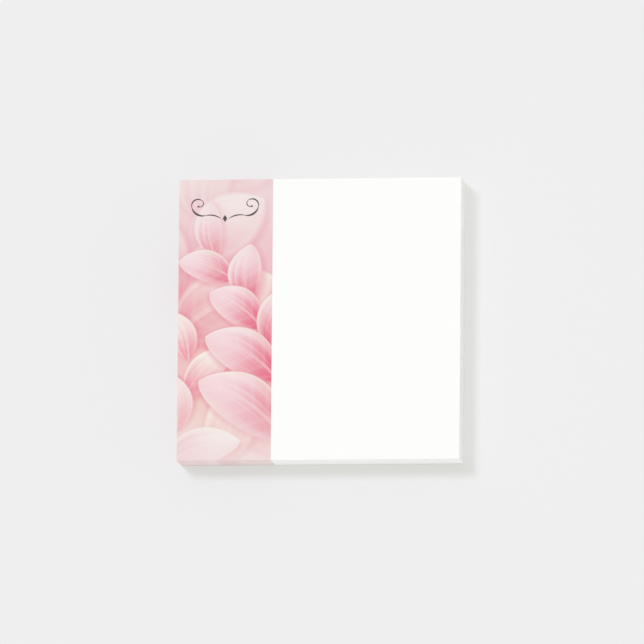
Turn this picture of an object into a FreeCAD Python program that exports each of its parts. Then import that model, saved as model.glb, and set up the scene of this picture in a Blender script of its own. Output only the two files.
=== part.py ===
"""A square pad of sticky notes: a stack of paper notes on a plain backing sheet.

Each note has a strip of adhesive on its back, along one edge, which holds it to the note below. The
strip keeps the notes a hair apart, so the three free sides of the pad show a fine gap between every
note and the next, and the glued ends of the left and right sides are closed. The pad was cut to size
as a stack, so its edges are square and its notes lie almost in line.

X runs across the pad and Y from its free edge to its glued edge. The pad lies on Z = 0, and the
origin is the middle of its underside. Sizes are in millimetres.
"""

import FreeCAD
import Part
import math
import os

# The pad's outline, which is the backing sheet's
PAD_WIDTH = 76.2
PAD_DEPTH = 76.2

# Paper
NOTE_COUNT = 100
NOTE_THICKNESS = 0.085
BACKING_THICKNESS = 0.12

# The adhesive strip on the back of each note
GLUE_THICKNESS = 0.015
GLUE_WIDTH = 16.0
# Bare paper between the strip and the pad's glued edge
GLUE_SETBACK = 1.0

# How far the cut has left each note from its neighbours' line, either way
EDGE_WANDER = 0.04
# How far in from the notes' edges a gap that no adhesive fills is open
GAP_DEPTH = 0.4

# Turn between one note's wander and the next one's, so that no two in a row agree
WANDER_TURN = math.pi * (3 - math.sqrt(5))
# The wander along Y turns this many times as fast, so that it doesn't follow the wander along X
WANDER_TURN_RATIO_Y = 2.7

NOTE_PITCH = NOTE_THICKNESS + GLUE_THICKNESS


def slab(x_range, y_range, z_range):
    """A plain block between two places along each axis."""
    low, high = (FreeCAD.Vector(*corner) for corner in zip(x_range, y_range, z_range))
    size = high - low
    return Part.makeBox(size.x, size.y, size.z, low)


def centred(length, middle=0.0):
    """The two ends of a length about its middle."""
    return middle - length / 2, middle + length / 2


def backing_sheet():
    """The plain sheet that the lowest note is stuck to."""
    return slab(centred(PAD_WIDTH), centred(PAD_DEPTH), (0.0, BACKING_THICKNESS))


def note(index):
    """One note, counted from the backing sheet up, a little out of line with its neighbours."""
    turn = WANDER_TURN * index
    across = centred(PAD_WIDTH - 2 * EDGE_WANDER, EDGE_WANDER * math.sin(turn))
    along = centred(PAD_DEPTH - 2 * EDGE_WANDER, EDGE_WANDER * math.sin(WANDER_TURN_RATIO_Y * turn))
    underside = BACKING_THICKNESS + GLUE_THICKNESS + NOTE_PITCH * index
    return slab(across, along, (underside, underside + NOTE_THICKNESS))


def glued_band():
    """The adhesive strips and the paper between them, out to the notes' left and right edges."""
    half_width = PAD_WIDTH / 2 - 2 * EDGE_WANDER
    back = PAD_DEPTH / 2 - GLUE_SETBACK
    return slab((-half_width, half_width), (back - GLUE_WIDTH, back), inside_heights())


def pressed_middle():
    """The notes' loose part, which lies pressed together inside the gaps at its three free edges."""
    half_width = PAD_WIDTH / 2 - 2 * EDGE_WANDER - GAP_DEPTH
    front = -PAD_DEPTH / 2 + 2 * EDGE_WANDER + GAP_DEPTH
    back = PAD_DEPTH / 2 - GLUE_SETBACK - GLUE_WIDTH
    return slab((-half_width, half_width), (front, back), inside_heights())


def inside_heights():
    """From the backing sheet to the underside of the top note."""
    return BACKING_THICKNESS, BACKING_THICKNESS + GLUE_THICKNESS + NOTE_PITCH * (NOTE_COUNT - 1)


def notes():
    """All the notes, stuck together as one block with a fine gap round every note."""
    sheets = [note(index) for index in range(NOTE_COUNT)]
    return glued_band().multiFuse([pressed_middle(), *sheets]).removeSplitter()


def main():
    """Writes each piece of the pad to its own file."""
    os.makedirs("parts", exist_ok=True)
    pieces = {"backing_sheet": backing_sheet(), "notes": notes()}
    for name, shape in pieces.items():
        shape.exportStep(os.path.join("parts", name + ".step"))
        print(name, "solids", len(shape.Solids), "valid", shape.isValid(), "mm3", round(shape.Volume, 3))


main()
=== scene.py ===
"""The looks of a square pad of sticky notes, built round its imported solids.

The pad lies as its solids do: X across, Y from the free edge to the glued edge, Z up, and the origin
in the middle of its underside. Lengths are in metres, and MM turns a size in millimetres into them.
The print on the notes is worked out in millimetres from the pad's lower left corner.
"""

import logging
import math
from dataclasses import dataclass, field
from enum import Enum
from typing import Dict, Iterator, List, Optional, Tuple, Union

import bpy
from mathutils import Matrix, Vector


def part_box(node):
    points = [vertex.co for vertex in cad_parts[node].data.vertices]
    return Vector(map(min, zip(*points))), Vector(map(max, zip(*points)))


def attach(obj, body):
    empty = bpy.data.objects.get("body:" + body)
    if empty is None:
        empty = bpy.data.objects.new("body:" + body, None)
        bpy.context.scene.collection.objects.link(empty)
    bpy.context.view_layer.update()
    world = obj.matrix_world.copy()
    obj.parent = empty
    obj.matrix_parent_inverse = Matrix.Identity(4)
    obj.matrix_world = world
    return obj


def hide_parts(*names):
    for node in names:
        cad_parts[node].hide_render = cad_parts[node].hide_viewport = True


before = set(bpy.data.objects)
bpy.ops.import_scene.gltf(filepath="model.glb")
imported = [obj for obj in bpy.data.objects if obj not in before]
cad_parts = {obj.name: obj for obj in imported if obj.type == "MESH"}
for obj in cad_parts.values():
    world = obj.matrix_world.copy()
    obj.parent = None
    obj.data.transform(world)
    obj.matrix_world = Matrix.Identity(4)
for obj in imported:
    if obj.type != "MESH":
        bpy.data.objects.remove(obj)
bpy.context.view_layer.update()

LOG = logging.getLogger("sticky_note_pad")
MM = 0.001
GOLDEN_TURN = math.pi * (3 - math.sqrt(5))

Colour = Tuple[float, float, float, float]
Inputs = Dict[Union[str, int], object]
Papers = Tuple[bpy.types.Material, bpy.types.Material]


def tint(red: int, green: int, blue: int) -> Colour:
    """Turns a colour as a screen shows it, 0 to 255, into the linear colour that a shader takes.

    Args:
        red: The red part, 0 to 255.
        green: The green part, 0 to 255.
        blue: The blue part, 0 to 255.

    Returns:
        The linear colour with an alpha of 1.
    """
    shares = (part / 255 for part in (red, green, blue))
    linear = [s / 12.92 if s <= 0.04045 else ((s + 0.055) / 1.055) ** 2.4 for s in shares]
    return (linear[0], linear[1], linear[2], 1.0)


class TreeKind(Enum):
    """The two kinds of node group that this file builds."""

    SHADER = "ShaderNodeTree"
    GEOMETRY = "GeometryNodeTree"


class Socket(Enum):
    """What passes through a group's input or output."""

    NUMBER = "NodeSocketFloat"
    COUNT = "NodeSocketInt"
    POINT = "NodeSocketVector"
    COLOUR = "NodeSocketColor"
    SHAPE = "NodeSocketGeometry"
    MATERIAL = "NodeSocketMaterial"


class Term:
    """A number that varies over a surface or a mesh, and that can be written in a formula.

    Each sum, product or function of terms adds a Math node to the tree that the terms belong to.
    """

    def __init__(self, bench: "Bench", socket: bpy.types.NodeSocket) -> None:
        """Wraps a socket.

        Args:
            bench: The tree that the socket is in.
            socket: The output that gives the number.
        """
        self.bench = bench
        self.socket = socket

    def __add__(self, other: "Number") -> "Term":
        """The sum of this term and another."""
        return self.bench.math("ADD", self, other)

    def __radd__(self, other: float) -> "Term":
        """The sum of a plain number and this term."""
        return self.bench.math("ADD", other, self)

    def __sub__(self, other: "Number") -> "Term":
        """This term less another."""
        return self.bench.math("SUBTRACT", self, other)

    def __rsub__(self, other: float) -> "Term":
        """A plain number less this term."""
        return self.bench.math("SUBTRACT", other, self)

    def __mul__(self, other: "Number") -> "Term":
        """The product of this term and another."""
        return self.bench.math("MULTIPLY", self, other)

    def __truediv__(self, other: "Number") -> "Term":
        """This term shared by another."""
        return self.bench.math("DIVIDE", self, other)

    def __pow__(self, other: "Number") -> "Term":
        """This term to a power."""
        return self.bench.math("POWER", self, other)

    def __abs__(self) -> "Term":
        """This term without its sign."""
        return self.bench.math("ABSOLUTE", self)

    def sine(self) -> "Term":
        """The sine of this term, in radians."""
        return self.bench.math("SINE", self)

    def cosine(self) -> "Term":
        """The cosine of this term, in radians."""
        return self.bench.math("COSINE", self)

    def at_least(self, other: "Number") -> "Term":
        """The larger of this term and another."""
        return self.bench.math("MAXIMUM", self, other)

    def rise(self, low: "Number", high: "Number") -> "Term":
        """How far this term has gone smoothly from low, where it is 0, to high, where it is 1.

        Args:
            low: The place of 0.
            high: The place of 1, above low.

        Returns:
            The share, never outside 0 to 1.
        """
        settings = {"interpolation_type": "SMOOTHSTEP", "clamp": False}
        inputs = {"Value": self, "From Min": low, "From Max": high}
        node = self.bench.put("ShaderNodeMapRange", settings, inputs)
        return Term(self.bench, node.outputs["Result"])


Number = Union[Term, float]


class Bench:
    """A node tree being built, with a short call for each kind of node that this file uses often."""

    def __init__(self, tree: bpy.types.NodeTree) -> None:
        """Takes a tree to build in.

        Args:
            tree: The tree, of a material, the world or a group.
        """
        self.tree = tree
        self._entry: Optional[bpy.types.Node] = None

    @classmethod
    def group(cls, name: str, kind: TreeKind) -> "Bench":
        """Starts a node group that has no inputs or outputs yet."""
        return cls(bpy.data.node_groups.new(name, kind.value))

    def entry(self, name: str, kind: Socket) -> Term:
        """Adds a named input to the group.

        Args:
            name: The input's name.
            kind: What it takes.

        Returns:
            The input as seen inside the group.
        """
        self.tree.interface.new_socket(name, in_out="INPUT", socket_type=kind.value)
        if self._entry is None:
            self._entry = self.tree.nodes.new("NodeGroupInput")
        return Term(self, self._entry.outputs[name])

    def numbers(self, *names: str) -> List[Term]:
        """Adds an input that takes a number under each of the names."""
        return [self.entry(name, Socket.NUMBER) for name in names]

    def exits(self, **ways: Tuple[Socket, object]) -> bpy.types.NodeTree:
        """Adds the group's outputs, and ends it.

        Args:
            ways: For each output's name, what it gives and the term or socket that it comes from.

        Returns:
            The finished group.
        """
        for name, (kind, _) in ways.items():
            self.tree.interface.new_socket(name, in_out="OUTPUT", socket_type=kind.value)
        node = self.tree.nodes.new("NodeGroupOutput")
        for name, (_, value) in ways.items():
            self.feed(node.inputs[name], value)
        return self.tree

    def feed(self, socket: bpy.types.NodeSocket, value: object) -> None:
        """Gives an input its value.

        Args:
            socket: The input.
            value: A term, another node's output, or a plain value.
        """
        if isinstance(value, Term):
            value = value.socket
        if isinstance(value, bpy.types.NodeSocket):
            self.tree.links.new(value, socket)
        else:
            socket.default_value = value

    def put(self, kind: str, settings: Optional[Dict[str, object]] = None,
            inputs: Optional[Inputs] = None) -> bpy.types.Node:
        """Adds a node.

        Args:
            kind: The node's type.
            settings: Its properties by name.
            inputs: Its inputs by name or place, each a term, a socket or a plain value.

        Returns:
            The node.
        """
        node = self.tree.nodes.new(kind)
        for name, value in (settings or {}).items():
            setattr(node, name, value)
        for key, value in (inputs or {}).items():
            self.feed(node.inputs[key], value)
        return node

    def math(self, operation: str, *values: Number) -> Term:
        """Adds a Math node on one, two or three values."""
        node = self.put("ShaderNodeMath", {"operation": operation}, dict(enumerate(values)))
        return Term(self, node.outputs[0])

    def parts(self, vector: object) -> Tuple[Term, Term, Term]:
        """Splits a vector into its three numbers."""
        outputs = self.put("ShaderNodeSeparateXYZ", None, {0: vector}).outputs
        return Term(self, outputs[0]), Term(self, outputs[1]), Term(self, outputs[2])

    def point(self, x: Number = 0.0, y: Number = 0.0, z: Number = 0.0) -> bpy.types.NodeSocket:
        """Joins three numbers into a vector."""
        return self.put("ShaderNodeCombineXYZ", None, {0: x, 1: y, 2: z}).outputs[0]

    def noise(self, vector: object, scale: float, detail: float = 1.0,
              slow: Optional[Number] = None) -> Term:
        """Adds soft noise about 0.5.

        Args:
            vector: Where the noise is read.
            scale: How many times it changes in one unit.
            detail: How many finer layers it has.
            slow: A fourth place, along which it changes too, where one is wanted.

        Returns:
            The noise.
        """
        settings = {"noise_dimensions": "3D" if slow is None else "4D"}
        inputs = {"Vector": vector, "Scale": scale, "Detail": detail}
        if slow is not None:
            inputs["W"] = slow
        return Term(self, self.put("ShaderNodeTexNoise", settings, inputs).outputs[0])

    def streak(self, place: Number, detail: float = 1.0) -> Term:
        """Adds soft noise about 0.5 along one number, which changes about once in one unit."""
        inputs = {"W": place, "Scale": 1.0, "Detail": detail}
        return Term(self, self.put("ShaderNodeTexNoise", {"noise_dimensions": "1D"}, inputs).outputs[0])

    def blend(self, share: Number, first: object, second: object) -> bpy.types.NodeSocket:
        """Mixes two colours.

        Args:
            share: How much of the second shows, 0 to 1.
            first: The colour below.
            second: The colour above.

        Returns:
            The mixed colour.
        """
        inputs = {0: share, 6: first, 7: second}
        return self.put("ShaderNodeMix", {"data_type": "RGBA"}, inputs).outputs[2]

    def attribute(self, name: str) -> Term:
        """Reads a number that a mesh carries under a name."""
        return Term(self, self.put("ShaderNodeAttribute", {"attribute_name": name}).outputs["Fac"])

    def use(self, group: bpy.types.NodeTree, inputs: Inputs) -> bpy.types.Node:
        """Places a node group with its own values."""
        kind = "GeometryNodeGroup" if group.bl_idname == TreeKind.GEOMETRY.value else "ShaderNodeGroup"
        return self.put(kind, {"node_tree": group}, inputs)


@dataclass(frozen=True)
class PadSize:
    """The pad's measures, taken from the solids or agreed with them."""

    width: float
    depth: float
    backing_top: float
    notes_top: float
    note_count: int = 100
    glue_thickness: float = 0.015 * MM
    glue_width: float = 16.0 * MM
    glue_setback: float = 1.0 * MM
    edge_wander: float = 0.04 * MM
    strip_share: float = 1 / 3

    @classmethod
    def from_frame(cls) -> "PadSize":
        """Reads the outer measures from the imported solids.

        Returns:
            The pad's measures.
        """
        low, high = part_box("notes")
        backing_low, backing_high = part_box("backing_sheet")
        width, depth = backing_high.x - backing_low.x, backing_high.y - backing_low.y
        return cls(width=width, depth=depth, backing_top=low.z, notes_top=high.z)

    @property
    def stack_height(self) -> float:
        """The height of all the notes with their adhesive."""
        return self.notes_top - self.backing_top

    @property
    def pitch(self) -> float:
        """The height of one note with its adhesive."""
        return self.stack_height / self.note_count

    @property
    def note_thickness(self) -> float:
        """The thickness of one note's paper."""
        return self.pitch - self.glue_thickness

    @property
    def strip_edge(self) -> float:
        """The right edge of the printed strip, along X."""
        return self.width * (self.strip_share - 0.5)

    @property
    def glue_middle(self) -> float:
        """The middle of the adhesive strips, along Y."""
        return self.depth / 2 - self.glue_setback - self.glue_width / 2


@dataclass(frozen=True)
class Leaf:
    """One printed leaf, in millimetres from the pad's lower left corner, over what lies below it."""

    base_across: float
    base_up: float
    heading: float
    length: float
    half_width: float
    bend: float
    heart: Colour
    tip: Colour
    rim: float
    softness: float
    fullness: float = 0.7

    def inputs(self) -> Inputs:
        """The leaf's values under the names that they have as inputs of the leaf's node group."""
        return {name.replace("_", " ").capitalize(): value for name, value in vars(self).items()}


@dataclass(frozen=True)
class Stroke:
    """One arc of the ornament's pen line: it turns left for a sweep above 0, and right below."""

    radius: float
    sweep: float
    swell: float


@dataclass(frozen=True)
class Spray:
    """A rule that lays leaves alternately left and right of a bowed stem, from its foot to its top.

    The shares of unrest say how much a leaf's length, width and angle differ from its neighbours', and
    closing says how much nearer the stem the last leaf lies than the first.
    """

    LENGTH_UNREST = 0.1
    WIDTH_UNREST = 0.08
    ANGLE_UNREST = 0.16
    CLOSING = 0.35

    foot: Tuple[float, float]
    top: Tuple[float, float]
    bow: float
    count: int
    spread: float
    length: Tuple[float, float]
    slimness: float
    bend: float
    heart: Colour
    tip: Colour
    rim: float
    softness: float
    first_side: int = 1

    def leaves(self) -> Iterator[Leaf]:
        """Lays the leaves, the one nearest the stem's foot last, so that it lies on top.

        Yields:
            Each leaf.
        """
        run = Vector(self.top) - Vector(self.foot)
        out = Vector((-run.y, run.x)).normalized()
        for place in reversed(range(self.count)):
            share = place / max(self.count - 1, 1)
            side = self.first_side * (-1) ** place
            base = Vector(self.foot) + run * share + out * (4 * self.bow * share * (1 - share))
            slope = run + out * (4 * self.bow * (1 - 2 * share))
            unrest = math.sin(GOLDEN_TURN * (place + 1) * (2 + self.first_side))
            length = self.length[0] + (self.length[1] - self.length[0]) * share
            length *= 1 + self.LENGTH_UNREST * unrest
            half_width = length * self.slimness * (1 - self.WIDTH_UNREST * unrest)
            angle = (self.spread + self.ANGLE_UNREST * unrest) * (1 - self.CLOSING * share)
            heading = math.atan2(slope.y, slope.x) + side * angle
            yield Leaf(base_across=base.x, base_up=base.y, heading=heading, length=length,
                       half_width=half_width, bend=side * self.bend * length, heart=self.heart,
                       tip=self.tip, rim=self.rim, softness=self.softness)


class PrintShop:
    """Builds the node groups that draw the print: soft leaves over a blush ground, and an ink scroll.

    Lengths in the print are in millimetres. The names that end in INK say how much of a tone is laid.
    """

    CREAM = tint(243, 235, 228)
    CREVICE = tint(223, 118, 140)
    LOW_GROUND = tint(236, 201, 191)
    HIGH_GROUND = tint(233, 181, 189)
    CLOUD_REACH = 1.2
    MIST = tint(236, 226, 225)
    INK = tint(62, 54, 56)
    LIGHT = (-0.6, 0.8)
    SHADE_FALL = (0.5, -0.65)
    SHADE_INK = 0.46
    STREAKS = 4.5
    STREAK_REACH = 0.35
    FLANK_INK = 0.4
    VEIN_INK = 0.09
    RIB_INK = 0.4
    RIB_SHARE = 0.11
    VEINS = 34.0
    VEIN_SLANT = 7.0
    TOP_MIST_INK = 0.62
    LOW_MIST_INK = 0.76
    PEN_INK = 0.94
    PEN_HAIR = 0.075
    PEN_EDGE = 0.05
    DOT_EDGE = 0.04
    ORNAMENT_ACROSS = 0.49
    ORNAMENT_DROP = 10.6
    SCROLL_START = (1.1, 0.0)
    SCROLL_HEADING = 0.62
    LOZENGE = 0.62
    BALL = 0.27

    def __init__(self, size: PadSize) -> None:
        """Takes the pad's measures.

        Args:
            size: The pad's measures.
        """
        self.height = size.depth / MM
        self.width = size.width * size.strip_share / MM

    def leaf_group(self) -> bpy.types.NodeTree:
        """Builds the group that lays one leaf over a colour.

        Returns:
            The group.
        """
        bench = Bench.group("printed leaf", TreeKind.SHADER)
        under = bench.entry("Under", Socket.COLOUR)
        across, up, base_across, base_up = bench.numbers("Across", "Up", "Base across", "Base up")
        heading, length, half_width, bend = bench.numbers("Heading", "Length", "Half width", "Bend")
        fullness, rim, softness = bench.numbers("Fullness", "Rim", "Softness")
        heart, tip = bench.entry("Heart", Socket.COLOUR), bench.entry("Tip", Socket.COLOUR)

        cosine, sine = heading.cosine(), heading.sine()
        right, above = across - base_across, up - base_up
        along = (right * cosine + above * sine) / length
        aside = above * cosine - right * sine - bend * along * (along - 1.0) * 4.0
        belly = along * (1.0 - along) * 4.0
        half = half_width * belly.at_least(0.0) ** fullness
        off_rib = abs(aside)
        inside = half - off_rib
        mask = inside.rise(0.0, softness)

        drop = sine * self.SHADE_FALL[0] - cosine * self.SHADE_FALL[1]
        halo = (half - abs(aside + drop)).rise(-1.5, 0.7) * belly.rise(-0.5, 0.2)
        shaded = bench.blend(halo * self.SHADE_INK, under, self.CREVICE)

        flank = aside / half.at_least(0.05)
        spread = abs(flank)
        streaks = bench.streak(flank * self.STREAKS + along * 0.9 + heading * 7.0, 2.0)
        length_tone = (along + (streaks - 0.5) * self.STREAK_REACH).rise(0.02, 0.82)
        body = bench.blend(length_tone, heart, tip)
        lit = flank * (cosine * self.LIGHT[1] - sine * self.LIGHT[0])
        body = bench.blend((1.0 - lit.rise(-1.0, 0.4)) * self.FLANK_INK, body, heart)
        veins = (along * self.VEINS - spread * self.VEIN_SLANT).sine().rise(0.2, 1.0)
        body = bench.blend(veins * self.VEIN_INK, body, self.CREAM)
        rib = (1.0 - (off_rib / (half_width * self.RIB_SHARE)).rise(0.2, 1.0)) * (1.0 - along)
        body = bench.blend(rib * self.RIB_INK, body, self.CREAM)
        lip = spread.rise(0.55, 1.0) * rim * (0.6 + lit * 0.4)
        body = bench.blend(lip, body, self.CREAM)
        laid = bench.blend(mask, shaded, body)
        return bench.exits(Colour=(Socket.COLOUR, laid))

    def arc_group(self) -> bpy.types.NodeTree:
        """Builds the group that inks one arc, fine at its ends and swelling between them.

        Returns:
            The group.
        """
        bench = Bench.group("inked arc", TreeKind.SHADER)
        under, across, up, swell = bench.numbers("Under", "Across", "Up", "Swell")
        centre_across, centre_up, radius = bench.numbers("Centre across", "Centre up", "Radius")
        start, sweep = bench.numbers("Start", "Sweep")

        right, above = across - centre_across, up - centre_up
        turn = bench.math("ARCTAN2", above, right) - start
        wrapped = bench.math("FLOORED_MODULO", turn, 2 * math.pi)
        share = wrapped / sweep
        distance = bench.math("SQRT", right * right + above * above)
        thick = self.PEN_HAIR + swell * (share * math.pi).sine().at_least(0.0)
        line = (thick - abs(distance - radius)).rise(-self.PEN_EDGE, self.PEN_EDGE)
        within = 1.0 - share.rise(0.999, 1.001)
        return bench.exits(Ink=(Socket.NUMBER, under.at_least(line * within)))

    @staticmethod
    def scroll() -> List[Stroke]:
        """Lays out the right half of the ornament, a tendril that dips, rises and curls up at its end.

        Returns:
            The arcs, from the middle outwards.
        """
        return [
            Stroke(radius=5.2, sweep=-0.85, swell=0.1),
            Stroke(radius=3.1, sweep=1.55, swell=0.2),
            Stroke(radius=1.75, sweep=2.5, swell=0.12),
            Stroke(radius=0.95, sweep=2.9, swell=0.06),
        ]

    def ornament(self, bench: Bench, across: Term, up: Term) -> Term:
        """Inks a mirrored scroll with a lozenge between its halves.

        Args:
            bench: The tree to draw in.
            across: Millimetres from the pad's left edge.
            up: Millimetres from the pad's free edge.

        Returns:
            Where there is ink, 0 to 1.
        """
        arc = self.arc_group()
        side = abs(across - self.width * self.ORNAMENT_ACROSS)
        above = up - (self.height - self.ORNAMENT_DROP)
        ink = (self.LOZENGE - side - abs(above) * self.LOZENGE).rise(-self.DOT_EDGE, self.DOT_EDGE)
        at, heading = Vector(self.SCROLL_START), self.SCROLL_HEADING
        for stroke in self.scroll():
            left = 1 if stroke.sweep > 0 else -1
            centre = at + stroke.radius * left * Vector((-math.sin(heading), math.cos(heading)))
            first = math.atan2(at.y - centre.y, at.x - centre.x)
            last = first + stroke.sweep
            node = bench.use(arc, {
                "Under": ink, "Across": side, "Up": above, "Centre across": centre.x,
                "Centre up": centre.y, "Radius": stroke.radius, "Start": min(first, last),
                "Sweep": abs(stroke.sweep), "Swell": stroke.swell,
            })
            ink = Term(bench, node.outputs[0])
            at = centre + stroke.radius * Vector((math.cos(last), math.sin(last)))
            heading += stroke.sweep
        ball = bench.math("SQRT", (side - at.x) * (side - at.x) + (above - at.y) * (above - at.y))
        return ink.at_least((self.BALL - ball).rise(-self.DOT_EDGE, self.DOT_EDGE))

    def leaves(self) -> List[Leaf]:
        """Lays out four sprays: one far back, two low ones and the main one.

        Returns:
            The leaves, from the furthest back to the nearest.
        """
        back = Spray(foot=(-3.0, 22.0), top=(16.0, 84.0), bow=4.0, count=7, spread=0.8, length=(31.0, 25.0),
                     slimness=0.32, bend=0.05, heart=tint(229, 157, 167), tip=tint(240, 224, 219),
                     rim=0.5, softness=1.9)
        low = Spray(foot=(2.0, -8.0), top=(29.0, 24.0), bow=-3.0, count=5, spread=0.85, length=(27.0, 20.0),
                    slimness=0.3, bend=0.06, heart=tint(234, 165, 164), tip=tint(240, 223, 215),
                    rim=0.5, softness=1.2, first_side=-1)
        fore = Spray(foot=(-4.0, -2.0), top=(3.0, 27.0), bow=-1.5, count=4, spread=0.7, length=(21.0, 15.0),
                     slimness=0.25, bend=0.1, heart=tint(233, 151, 163), tip=tint(242, 234, 229),
                     rim=0.9, softness=0.5, first_side=-1)
        main = Spray(foot=(29.0, 6.0), top=(10.0, 55.0), bow=-5.0, count=8, spread=0.85, length=(26.0, 14.0),
                     slimness=0.28, bend=0.09, heart=tint(227, 101, 131), tip=tint(241, 218, 221),
                     rim=0.8, softness=0.4)
        return [leaf for spray in (back, low, fore, main) for leaf in spray.leaves()]

    def print_group(self) -> bpy.types.NodeTree:
        """Builds the group that gives the print's colour at each place of the strip.

        Returns:
            The group.
        """
        leaf = self.leaf_group()
        bench = Bench.group("note print", TreeKind.SHADER)
        x, y, _ = bench.parts(bench.entry("Place", Socket.POINT))
        across = x / MM + self.height / 2
        up = y / MM + self.height / 2

        cloud = bench.noise(bench.point(across, up), 0.07)
        height = up / self.height + (cloud - 0.5) * self.CLOUD_REACH
        ground = bench.blend(height.rise(0.1, 0.75), self.LOW_GROUND, self.HIGH_GROUND)
        for shape in self.leaves():
            place = {"Under": ground, "Across": across, "Up": up}
            ground = bench.use(leaf, {**place, **shape.inputs()}).outputs[0]
        top_mist = up.rise(self.height * 0.52, self.height) * self.TOP_MIST_INK
        low_mist = (1.0 - up.rise(-6.0, self.height * 0.3)) * self.LOW_MIST_INK
        ground = bench.blend(top_mist + low_mist, ground, self.MIST)
        ground = bench.blend(self.ornament(bench, across, up) * self.PEN_INK, ground, self.INK)
        return bench.exits(Colour=(Socket.COLOUR, ground))


def new_surface(name: str) -> Tuple[bpy.types.Material, Bench, bpy.types.Node]:
    """Starts a material.

    Args:
        name: Its name.

    Returns:
        The material, its tree on a bench, and its shader.
    """
    material = bpy.data.materials.new(name)
    material.use_nodes = True
    tree = material.node_tree
    return material, Bench(tree), tree.nodes["Principled BSDF"]


def fibre_group() -> bpy.types.NodeTree:
    """Builds the group that gives paper its cloudy tone, its fibres and its tooth.

    Returns:
        The group, with a tone and a height about 0.5.
    """
    bench = Bench.group("paper fibre", TreeKind.SHADER)
    place = bench.entry("Place", Socket.POINT)
    fibre_length = bench.entry("Fibre length", Socket.NUMBER)
    x, y, z = (part / fibre_length for part in bench.parts(place))
    here = bench.point(x, y, z)
    cloud = bench.noise(here, 0.35)
    runs = []
    for turn in (0.4, 1.9):
        along = x * math.cos(turn) + y * math.sin(turn)
        across = y * math.cos(turn) - x * math.sin(turn)
        runs.append(bench.noise(bench.point(along, across * 7.0, z), 1.0))
    fibres = (runs[0] + runs[1]) / 2.0
    tooth = bench.noise(here, 9.0)
    tone = cloud * 0.5 + fibres * 0.5
    height = fibres * 0.6 + tooth * 0.4
    return bench.exits(Tone=(Socket.NUMBER, tone), Height=(Socket.NUMBER, height))


def cut_group() -> bpy.types.NodeTree:
    """Builds the group that gives a stack's cut side its fine, broken lines, which set the painted shade
    there and how much ink shows.

    Returns:
        The group, with a tone about 0.5.
    """
    bench = Bench.group("cut edge", TreeKind.SHADER)
    place = bench.entry("Place", Socket.POINT)
    pitch = bench.entry("Pitch", Socket.NUMBER)
    x, y, z = bench.parts(place)
    sheet = z / pitch
    run = (x + y) / (18.0 * MM)
    bundles = bench.noise(bench.point(run * 0.35, x / (90.0 * MM), sheet * 0.16), 1.0)
    lines = bench.noise(bench.point(run, y / (60.0 * MM), sheet * 0.9), 1.0)
    nicks = bench.noise(bench.point(x / (0.5 * MM), y / (0.5 * MM), sheet * 1.4), 1.0)
    tone = bundles * 0.45 + lines * 0.4 + nicks * 0.15
    return bench.exits(Tone=(Socket.NUMBER, tone))


@dataclass(frozen=True)
class NotePaper:
    """The notes' white paper, bare, or with a print on its face and the print's ink at its cut edges. Its
    cut edges carry painted shade in fine lines.
    """

    white: Colour = tint(250, 250, 249)
    shade: Colour = tint(249, 249, 247)
    # Colour of the painted shade in the fine lines along the cut sides.
    cut_shade: Colour = tint(230, 229, 227)
    roughness: float = 0.88
    inked_roughness: float = 0.72
    specular: float = 0.25
    fibre_length: float = 0.9 * MM
    tooth: float = 0.08
    tooth_height: float = 0.02 * MM
    ink_at_cut: float = 1.0

    def material(self, size: PadSize, fibre: bpy.types.NodeTree, cut: bpy.types.NodeTree,
                 print_colours: Optional[bpy.types.NodeTree] = None) -> bpy.types.Material:
        """Builds the material.

        Args:
            size: The pad's measures.
            fibre: The group that gives paper its fibres.
            cut: The group that gives a cut side its lines.
            print_colours: The group that draws the print, where there is one.

        Returns:
            The material. It reads three attributes of a note: "front", which is 1 on its face,
            "side", which is 1 on its cut edges, and "sheet", a random number of its own.
        """
        name = "printed note paper" if print_colours else "bare note paper"
        material, bench, shader = new_surface(name)
        place = bench.put("ShaderNodeTexCoord").outputs["Object"]
        side, sheet = bench.attribute("side"), bench.attribute("sheet")
        grain = bench.use(fibre, {"Place": place, "Fibre length": self.fibre_length})
        tone = Term(bench, grain.outputs["Tone"])
        lines = Term(bench, bench.use(cut, {"Place": place, "Pitch": size.pitch}).outputs["Tone"])

        colour = bench.blend(tone.rise(0.38, 0.62), self.shade, self.white)
        # Painted shade: the cut sides darken in fine random lines and bundles, standing in for the shade of
        # the gaps and burrs between sheets.
        painted_cut_shade_share = side * (1.0 - (lines + (sheet - 0.5) * 0.25).rise(0.3, 0.62)) * 0.5
        colour = bench.blend(painted_cut_shade_share, colour, self.cut_shade)
        rough = self.roughness + (tone - 0.5) * 0.12
        if print_colours:
            front = bench.attribute("front")
            ink = front + side * self.ink_at_cut * (0.7 + lines * 0.6)
            drawn = bench.use(print_colours, {"Place": place}).outputs["Colour"]
            colour = bench.blend(ink, colour, drawn)
            rough = rough - front * (self.roughness - self.inked_roughness)
        bench.feed(shader.inputs["Base Color"], colour)
        bench.feed(shader.inputs["Roughness"], rough)
        shader.inputs["Specular IOR Level"].default_value = self.specular
        bump = bench.put("ShaderNodeBump", None, {
            "Strength": self.tooth, "Distance": self.tooth_height, "Height": grain.outputs["Height"],
        })
        bench.feed(shader.inputs["Normal"], bump.outputs[0])
        return material


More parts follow.
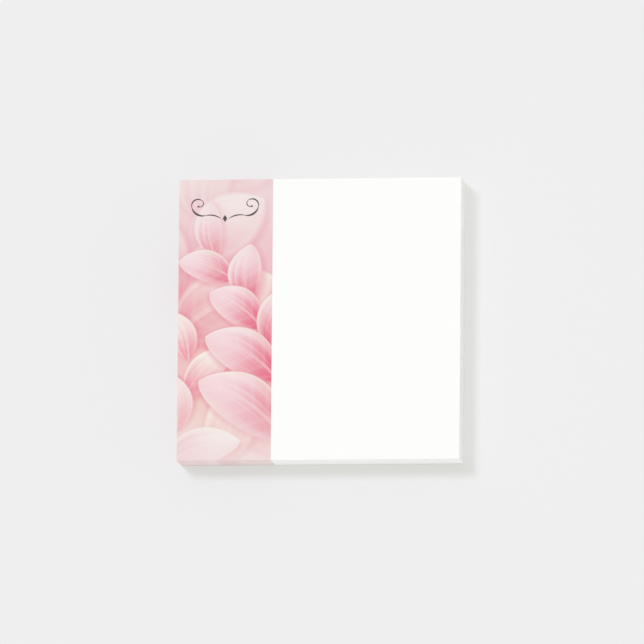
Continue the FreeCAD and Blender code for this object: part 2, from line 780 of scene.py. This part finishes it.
@dataclass(frozen=True)
class PlainPaper:
    """The backing sheet's uncoated paper."""

    light: Colour = tint(246, 245, 240)
    dark: Colour = tint(230, 228, 220)
    roughness: float = 0.92
    specular: float = 0.2
    fibre_length: float = 1.6 * MM
    tooth: float = 0.16
    tooth_height: float = 0.03 * MM

    def material(self, fibre: bpy.types.NodeTree) -> bpy.types.Material:
        """Builds the material.

        Args:
            fibre: The group that gives paper its fibres.

        Returns:
            The material.
        """
        material, bench, shader = new_surface("backing paper")
        place = bench.put("ShaderNodeTexCoord").outputs["Object"]
        grain = bench.use(fibre, {"Place": place, "Fibre length": self.fibre_length})
        tone = Term(bench, grain.outputs["Tone"])
        bench.feed(shader.inputs["Base Color"], bench.blend(tone.rise(0.36, 0.64), self.dark, self.light))
        bench.feed(shader.inputs["Roughness"], self.roughness + (tone - 0.5) * 0.15)
        shader.inputs["Specular IOR Level"].default_value = self.specular
        bump = bench.put("ShaderNodeBump", None, {
            "Strength": self.tooth, "Distance": self.tooth_height, "Height": grain.outputs["Height"],
        })
        bench.feed(shader.inputs["Normal"], bump.outputs[0])
        return material


@dataclass(frozen=True)
class Adhesive:
    """The thin, slightly glossy film of low-tack adhesive, which lies in small blobs close together."""

    thin: Colour = tint(240, 239, 232)
    thick: Colour = tint(228, 226, 214)
    roughness: float = 0.38
    blobs_per_metre: float = 4000.0

    def material(self) -> bpy.types.Material:
        """Builds the material.

        Returns:
            The material.
        """
        material, bench, shader = new_surface("note adhesive")
        place = bench.put("ShaderNodeTexCoord").outputs["Object"]
        blobs = bench.noise(place, self.blobs_per_metre, 2.0)
        bench.feed(shader.inputs["Base Color"], bench.blend(blobs.rise(0.4, 0.6), self.thin, self.thick))
        bench.feed(shader.inputs["Roughness"], self.roughness + blobs * 0.15)
        return material


@dataclass
class Notes:
    """The stack of notes: all but the top one as one piece, and the top one, which shows, finer.

    A note's cells along each side are a multiple of three, so that a row of them ends at the strip's edge.
    A note lies out of line by a share that turns from each note to the next and a share that drifts.
    """

    TURNING_SHARE = 0.45
    DRIFTING_SHARE = 0.9
    TURN_RATIO_Y = 2.7
    DRIFT_A_NOTE = 0.06
    RIPPLE_A_NOTE = 0.03
    RIPPLE_TOP = 0.7

    size: PadSize
    stack_cells: int = 12
    top_cells: int = 60
    wave_height: float = 0.05 * MM
    wave_length: float = 30.0 * MM
    seed: int = 7

    def tree(self) -> bpy.types.NodeTree:
        """Builds the geometry tree that stacks sheets, each a little out of line and gently waved.

        Returns:
            The tree.
        """
        bench = Bench.group("stacked notes", TreeKind.GEOMETRY)
        counts = ("First note", "Notes", "Cells", "Seed")
        first, count, cells, seed = (bench.entry(name, Socket.COUNT) for name in counts)
        width, depth, thickness, pitch = bench.numbers("Width", "Depth", "Thickness", "Pitch")
        lowest, height, wander = bench.numbers("Lowest underside", "Stack height", "Wander")
        wave_height, wave_length = bench.numbers("Wave height", "Wave length")
        glued_from, strip_edge = bench.numbers("Glued from", "Strip edge")
        papers = ("Printed paper", "Bare paper")
        printed, bare = (bench.entry(name, Socket.MATERIAL) for name in papers)

        start = bench.point(z=lowest + thickness / 2.0 + pitch * first)
        line = bench.put("GeometryNodeMeshLine", {"mode": "OFFSET"}, {
            "Count": count, "Start Location": start, "Offset": bench.point(z=pitch),
        }).outputs[0]
        note = Term(bench, bench.put("GeometryNodeInputIndex").outputs[0]) + first
        turn = note * GOLDEN_TURN
        aside = []
        for angle, place in ((turn, 0.0), (turn * self.TURN_RATIO_Y, 5.0)):
            drift = bench.noise(bench.point(place), 1.0, slow=note * self.DRIFT_A_NOTE + seed) - 0.5
            aside.append((angle.sine() * self.TURNING_SHARE + drift * self.DRIFTING_SHARE) * wander)
        offset = bench.point(*aside)
        line = bench.put("GeometryNodeSetPosition", None, {"Geometry": line, "Offset": offset}).outputs[0]
        # Each note's random number, which shifts the painted shade along its cut edges.
        line = self.remember(bench, line, "sheet", "POINT", self.shade_of(bench, note, seed))
        line = self.remember(bench, line, "note", "POINT", note)

        cut_size = bench.point(width - wander * 2.0, depth - wander * 2.0, thickness)
        rows = cells + 1.0
        sheet = bench.put("GeometryNodeMeshCube", None, {
            "Size": cut_size, "Vertices X": rows, "Vertices Y": rows, "Vertices Z": 2,
        }).outputs["Mesh"]
        _, _, facing = bench.parts(bench.put("GeometryNodeInputNormal").outputs[0])
        sheet = self.remember(bench, sheet, "front", "FACE", facing.rise(0.4, 0.6))
        sheet = self.remember(bench, sheet, "side", "FACE", 1.0 - abs(facing).rise(0.4, 0.6))

        stacked = bench.put("GeometryNodeInstanceOnPoints", None, {"Points": line, "Instance": sheet})
        stacked = bench.put("GeometryNodeRealizeInstances", None, {0: stacked.outputs[0]}).outputs[0]
        lift = self.wave(bench, wave_height, wave_length, glued_from, lowest, height, seed)
        waved = bench.put("GeometryNodeSetPosition", None, {"Geometry": stacked, "Offset": lift}).outputs[0]
        across, _, _ = bench.parts(bench.put("GeometryNodeInputPosition").outputs[0])
        on_strip = bench.math("LESS_THAN", across, strip_edge)
        dressed = bench.put("GeometryNodeSetMaterial", None, {"Geometry": waved, "Material": bare})
        dressed = bench.put("GeometryNodeSetMaterial", None, {
            "Geometry": dressed.outputs[0], "Selection": on_strip, "Material": printed,
        })
        return bench.exits(Geometry=(Socket.SHAPE, dressed.outputs[0]))

    @staticmethod
    def remember(bench: Bench, shape: object, name: str, domain: str, value: Term) -> bpy.types.NodeSocket:
        """Stores a number on a shape under a name.

        Args:
            bench: The tree to build in.
            shape: The shape.
            name: The attribute's name.
            domain: What carries it, POINT or FACE.
            value: The number.

        Returns:
            The shape with its attribute.
        """
        inputs = {"Geometry": shape, "Name": name, "Value": value}
        settings = {"data_type": "FLOAT", "domain": domain}
        return bench.put("GeometryNodeStoreNamedAttribute", settings, inputs).outputs[0]

    @staticmethod
    def shade_of(bench: Bench, note: Term, seed: Term) -> Term:
        """A random number from 0 to 1 for each note."""
        node = bench.put("FunctionNodeRandomValue", {"data_type": "FLOAT"}, {"ID": note, "Seed": seed})
        return Term(bench, next(output for output in node.outputs if output.enabled))

    def wave(self, bench: Bench, wave_height: Term, wave_length: Term, glued_from: Term, lowest: Term,
             height: Term, seed: Term) -> bpy.types.NodeSocket:
        """Works out how far each point of a note is lifted: nothing where it is glued or low down.

        Args:
            bench: The tree to build in.
            wave_height: The wave's height at the top of the pad.
            wave_length: The distance over which it changes.
            glued_from: Where the adhesive starts, along Y.
            lowest: The place of the lowest note's underside, along Z.
            height: The height of the stack.
            seed: The random seed.

        Returns:
            The lift as a vector.
        """
        x, y, z = bench.parts(bench.put("GeometryNodeInputPosition").outputs[0])
        named = bench.put("GeometryNodeInputNamedAttribute", {"data_type": "FLOAT"}, {"Name": "note"})
        note = Term(bench, named.outputs[0])
        here = bench.point(x / wave_length, y / wave_length)
        ripple = bench.noise(here, 1.0, slow=note * self.RIPPLE_A_NOTE + seed)
        free = 1.0 - y.rise(glued_from - wave_length * 0.6, glued_from)
        high = (z - lowest) / height
        return bench.point(z=(ripple - self.RIPPLE_TOP) * free * high * wave_height)

    def piece(self, name: str, tree: bpy.types.NodeTree, papers: Papers, first: int, count: int,
              cells: int) -> bpy.types.Object:
        """Runs the tree for some of the notes, and turns the result into a plain mesh.

        Args:
            name: The piece's name.
            tree: The tree that stacks notes.
            papers: The printed paper and the bare paper.
            first: The lowest of these notes, counted from the backing sheet.
            count: How many notes.
            cells: How many cells each note has along each side.

        Returns:
            The piece.
        """
        size = self.size
        values = {
            "First note": first, "Notes": count, "Cells": cells, "Width": size.width, "Depth": size.depth,
            "Thickness": size.note_thickness, "Pitch": size.pitch,
            "Lowest underside": size.backing_top + size.glue_thickness,
            "Stack height": size.stack_height, "Wander": size.edge_wander,
            "Wave height": self.wave_height, "Wave length": self.wave_length,
            "Glued from": size.glue_middle - size.glue_width / 2, "Seed": self.seed,
            "Strip edge": size.strip_edge, "Printed paper": papers[0], "Bare paper": papers[1],
        }
        return made_by_tree(name, tree, values)

    def build(self, papers: Papers) -> List[bpy.types.Object]:
        """Builds both pieces.

        Args:
            papers: The printed paper and the bare paper.

        Returns:
            The stack and the top note.
        """
        tree = self.tree()
        under_top = self.size.note_count - 1
        stack = self.piece("note_stack", tree, papers, 0, under_top, self.stack_cells)
        top = self.piece("top_note", tree, papers, under_top, 1, self.top_cells)
        for piece in (stack, top):
            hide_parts("notes")
            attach(piece, "root")
        return [stack, top]


@dataclass
class GlueStrips:
    """The strips of adhesive between the notes, and between the lowest one and the backing sheet."""

    size: PadSize

    def tree(self) -> bpy.types.NodeTree:
        """Builds the geometry tree that repeats one strip up the stack.

        Returns:
            The tree.
        """
        bench = Bench.group("stacked adhesive", TreeKind.GEOMETRY)
        count, film = bench.entry("Strips", Socket.COUNT), bench.entry("Film", Socket.MATERIAL)
        width, depth, thickness, pitch = bench.numbers("Width", "Depth", "Thickness", "Pitch")
        lowest, middle = bench.numbers("Lowest underside", "Middle")

        line = bench.put("GeometryNodeMeshLine", {"mode": "OFFSET"}, {
            "Count": count, "Start Location": bench.point(y=middle, z=lowest + thickness / 2.0),
            "Offset": bench.point(z=pitch),
        }).outputs[0]
        strip = bench.put("GeometryNodeMeshCube", None, {"Size": bench.point(width, depth, thickness)})
        stacked = bench.put("GeometryNodeInstanceOnPoints", None, {
            "Points": line, "Instance": strip.outputs["Mesh"],
        })
        stacked = bench.put("GeometryNodeRealizeInstances", None, {0: stacked.outputs[0]})
        dressed = bench.put("GeometryNodeSetMaterial", None, {
            "Geometry": stacked.outputs[0], "Material": film,
        })
        return bench.exits(Geometry=(Socket.SHAPE, dressed.outputs[0]))

    def build(self, material: bpy.types.Material) -> bpy.types.Object:
        """Builds the piece.

        Args:
            material: The adhesive.

        Returns:
            The piece.
        """
        size = self.size
        values = {
            "Strips": size.note_count, "Width": size.width - 4 * size.edge_wander,
            "Depth": size.glue_width, "Thickness": size.glue_thickness, "Pitch": size.pitch,
            "Lowest underside": size.backing_top, "Middle": size.glue_middle, "Film": material,
        }
        piece = made_by_tree("glue_strips", self.tree(), values)
        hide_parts("notes")
        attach(piece, "root")
        return piece


@dataclass
class BackingSheet:
    """The plain sheet under the notes, which keeps its solid and gets its paper."""

    node: str = "backing_sheet"

    def dress(self, material: bpy.types.Material) -> bpy.types.Object:
        """Gives the solid its paper.

        Args:
            material: The paper.

        Returns:
            The solid's object.
        """
        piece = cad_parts[self.node]
        for slot in piece.material_slots:
            slot.material = material
        return piece


def made_by_tree(name: str, tree: bpy.types.NodeTree, values: Dict[str, object]) -> bpy.types.Object:
    """Runs a geometry tree with its values, and keeps the result as a plain mesh object.

    Args:
        name: The object's name.
        tree: The geometry tree.
        values: A value for each of the tree's inputs, by name.

    Returns:
        The object, at the origin and with no modifier.
    """
    carrier = bpy.data.objects.new(name, bpy.data.meshes.new(name))
    bpy.context.scene.collection.objects.link(carrier)
    modifier = carrier.modifiers.new("stacking", "NODES")
    modifier.node_group = tree
    for item in tree.interface.items_tree:
        if item.in_out == "INPUT":
            modifier[item.identifier] = values[item.name]
    graph = bpy.context.evaluated_depsgraph_get()
    mesh = bpy.data.meshes.new_from_object(carrier.evaluated_get(graph), depsgraph=graph)
    carrier.modifiers.remove(modifier)
    carrier.data = mesh
    mesh.name = name
    return carrier


@dataclass(frozen=True)
class Lamp:
    """A distant lamp: how brightly it lights a surface that faces it, and how soft its shadows are.

    Light that is not passed on lights what it falls on, and nothing more from there.
    """

    name: str
    towards: Tuple[float, float, float]
    strength: float
    angle: float
    colour: Tuple[float, float, float] = (1.0, 1.0, 1.0)
    passed_on: bool = True


@dataclass
class Studio:
    """A plain pale floor, soft light from the upper left, and a camera high above the pad.

    The film is as many pixels wide as the picture, and the scale is in pixels a metre.
    """

    grey: Colour = tint(239, 239, 239)
    floor_colour: Colour = tint(236, 236, 236)
    floor_reach: float = 6.0
    floor_gap: float = 0.01 * MM
    backdrop_share: float = 0.5
    ambient: float = 0.678
    ambient_tint: Colour = (0.987, 1.006, 0.885, 1.0)
    lens: float = 627.0
    sensor: float = 36.0
    film: float = 644.0
    scale: float = 3733.0
    slope: Tuple[float, float] = (math.tan(math.radians(6.8)), -math.tan(math.radians(8.45)))
    roll: float = math.radians(-0.48)
    aim: Vector = field(default_factory=lambda: Vector((0.81 * MM, -0.84 * MM, 10.12 * MM)))

    def floor_material(self) -> bpy.types.Material:
        """Builds the floor's material: to the camera, half of it is the plain backdrop grey.

        Returns:
            The material.
        """
        material, bench, shader = new_surface("studio floor")
        shader.inputs["Base Color"].default_value = self.floor_colour
        shader.inputs["Roughness"].default_value = 1.0
        shader.inputs["Specular IOR Level"].default_value = 0.0
        shown = bench.put("ShaderNodeEmission", None, {"Color": self.grey, "Strength": 1.0})
        share = Term(bench, bench.put("ShaderNodeLightPath").outputs["Is Camera Ray"]) * self.backdrop_share
        mixed = bench.put("ShaderNodeMixShader", None, {0: share, 1: shader.outputs[0], 2: shown.outputs[0]})
        bench.feed(bench.tree.nodes["Material Output"].inputs["Surface"], mixed.outputs[0])
        return material

    def floor(self) -> bpy.types.Object:
        """Lays the floor just under the pad.

        Returns:
            The floor.
        """
        reach = self.floor_reach
        mesh = bpy.data.meshes.new("floor")
        corners = [(-reach, -reach), (reach, -reach), (reach, reach), (-reach, reach)]
        mesh.from_pydata([(x, y, -self.floor_gap) for x, y in corners], [], [(0, 1, 2, 3)])
        floor = bpy.data.objects.new("floor", mesh)
        bpy.context.scene.collection.objects.link(floor)
        mesh.materials.append(self.floor_material())
        return floor

    def world(self) -> None:
        """Lights the pad evenly from all round, and shows the same pale grey behind it."""
        world = bpy.data.worlds.new("studio")
        world.use_nodes = True
        bench = Bench(world.node_tree)
        bench.tree.nodes.clear()
        kind = "ShaderNodeBackground"
        light = bench.put(kind, None, {"Color": self.ambient_tint, "Strength": self.ambient})
        shown = bench.put(kind, None, {"Color": self.grey, "Strength": 1.0})
        path = bench.put("ShaderNodeLightPath")
        rays = ("Is Camera Ray", "Is Glossy Ray", "Is Transmission Ray")
        camera, glossy, through = (Term(bench, path.outputs[ray]) for ray in rays)
        seen = camera.at_least(glossy).at_least(through)
        mixed = bench.put("ShaderNodeMixShader", None, {0: seen, 1: light.outputs[0], 2: shown.outputs[0]})
        bench.put("ShaderNodeOutputWorld", None, {"Surface": mixed.outputs[0]})
        bpy.context.scene.world = world

    def hang(self, lamp: Lamp) -> None:
        """Adds a lamp that is far away, so that it lights alike everywhere.

        Args:
            lamp: Its place, strength and colour.
        """
        data = bpy.data.lights.new(lamp.name, "SUN")
        towards = Vector(lamp.towards).normalized()
        data.energy = lamp.strength * math.pi
        data.angle = math.radians(lamp.angle)
        data.color = lamp.colour
        if not lamp.passed_on:
            data.cycles.max_bounces = 0
        holder = bpy.data.objects.new(lamp.name, data)
        holder.rotation_mode = "QUATERNION"
        holder.rotation_quaternion = towards.to_track_quat("Z", "Y")
        bpy.context.scene.collection.objects.link(holder)

    def camera(self) -> None:
        """Places the camera so that a length in the pad's face is as long in the picture as it was."""
        data = bpy.data.cameras.new("camera")
        data.lens = self.lens
        data.sensor_width = self.sensor
        distance = self.lens / self.sensor * self.film / self.scale
        back = Vector((self.slope[0], self.slope[1], 1.0)).normalized()
        up = Vector((math.sin(self.roll), math.cos(self.roll), 0.0))
        right = up.cross(back).normalized()
        up = back.cross(right)
        data.clip_start, data.clip_end = distance * 0.05, distance * 20
        camera = bpy.data.objects.new("camera", data)
        bpy.context.scene.collection.objects.link(camera)
        camera.rotation_mode = "QUATERNION"
        camera.rotation_quaternion = Matrix((right, up, back)).transposed().to_quaternion()
        camera.location = self.aim + back * distance
        bpy.context.scene.camera = camera

    def lamps(self) -> List[Lamp]:
        """Lists the key light, and two low pale boards for the sides which the key leaves out.

        Returns:
            The lamps.
        """
        board = (1.0, 0.995, 1.2)
        return [
            Lamp("key", towards=(-0.34, 0.325, 1.0), strength=0.389, angle=14.0, colour=(1.0, 0.964, 1.185)),
            Lamp("right_board", towards=(1.0, 0.0, 0.02), strength=0.315, angle=2.0, colour=board),
            Lamp("front_board", towards=(0.0, -1.0, 0.02), strength=0.27, angle=2.0, colour=board,
                 passed_on=False),
        ]

    def build(self) -> None:
        """Sets up the whole studio."""
        self.floor()
        self.world()
        for lamp in self.lamps():
            self.hang(lamp)
        self.camera()
        bpy.context.scene.view_settings.view_transform = "Standard"


def write_sizes() -> None:
    """Updates the view layer."""
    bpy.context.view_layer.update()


def report(piece: bpy.types.Object) -> None:
    """Logs a piece's name and how many faces it has."""
    LOG.info("%s: %d faces", piece.name, len(piece.data.polygons))


def main() -> None:
    """Builds the pad's pieces in order, then the studio round them."""
    logging.basicConfig(level=logging.INFO, format="%(name)s: %(message)s")
    size = PadSize.from_frame()
    fibre = fibre_group()
    cut = cut_group()
    printed = NotePaper().material(size, fibre, cut, PrintShop(size).print_group())
    papers = (printed, NotePaper().material(size, fibre, cut))
    report(BackingSheet().dress(PlainPaper().material(fibre)))
    for piece in Notes(size).build(papers):
        report(piece)
    report(GlueStrips(size).build(Adhesive().material()))
    Studio().build()
    write_sizes()


if __name__ == "__main__":
    main()
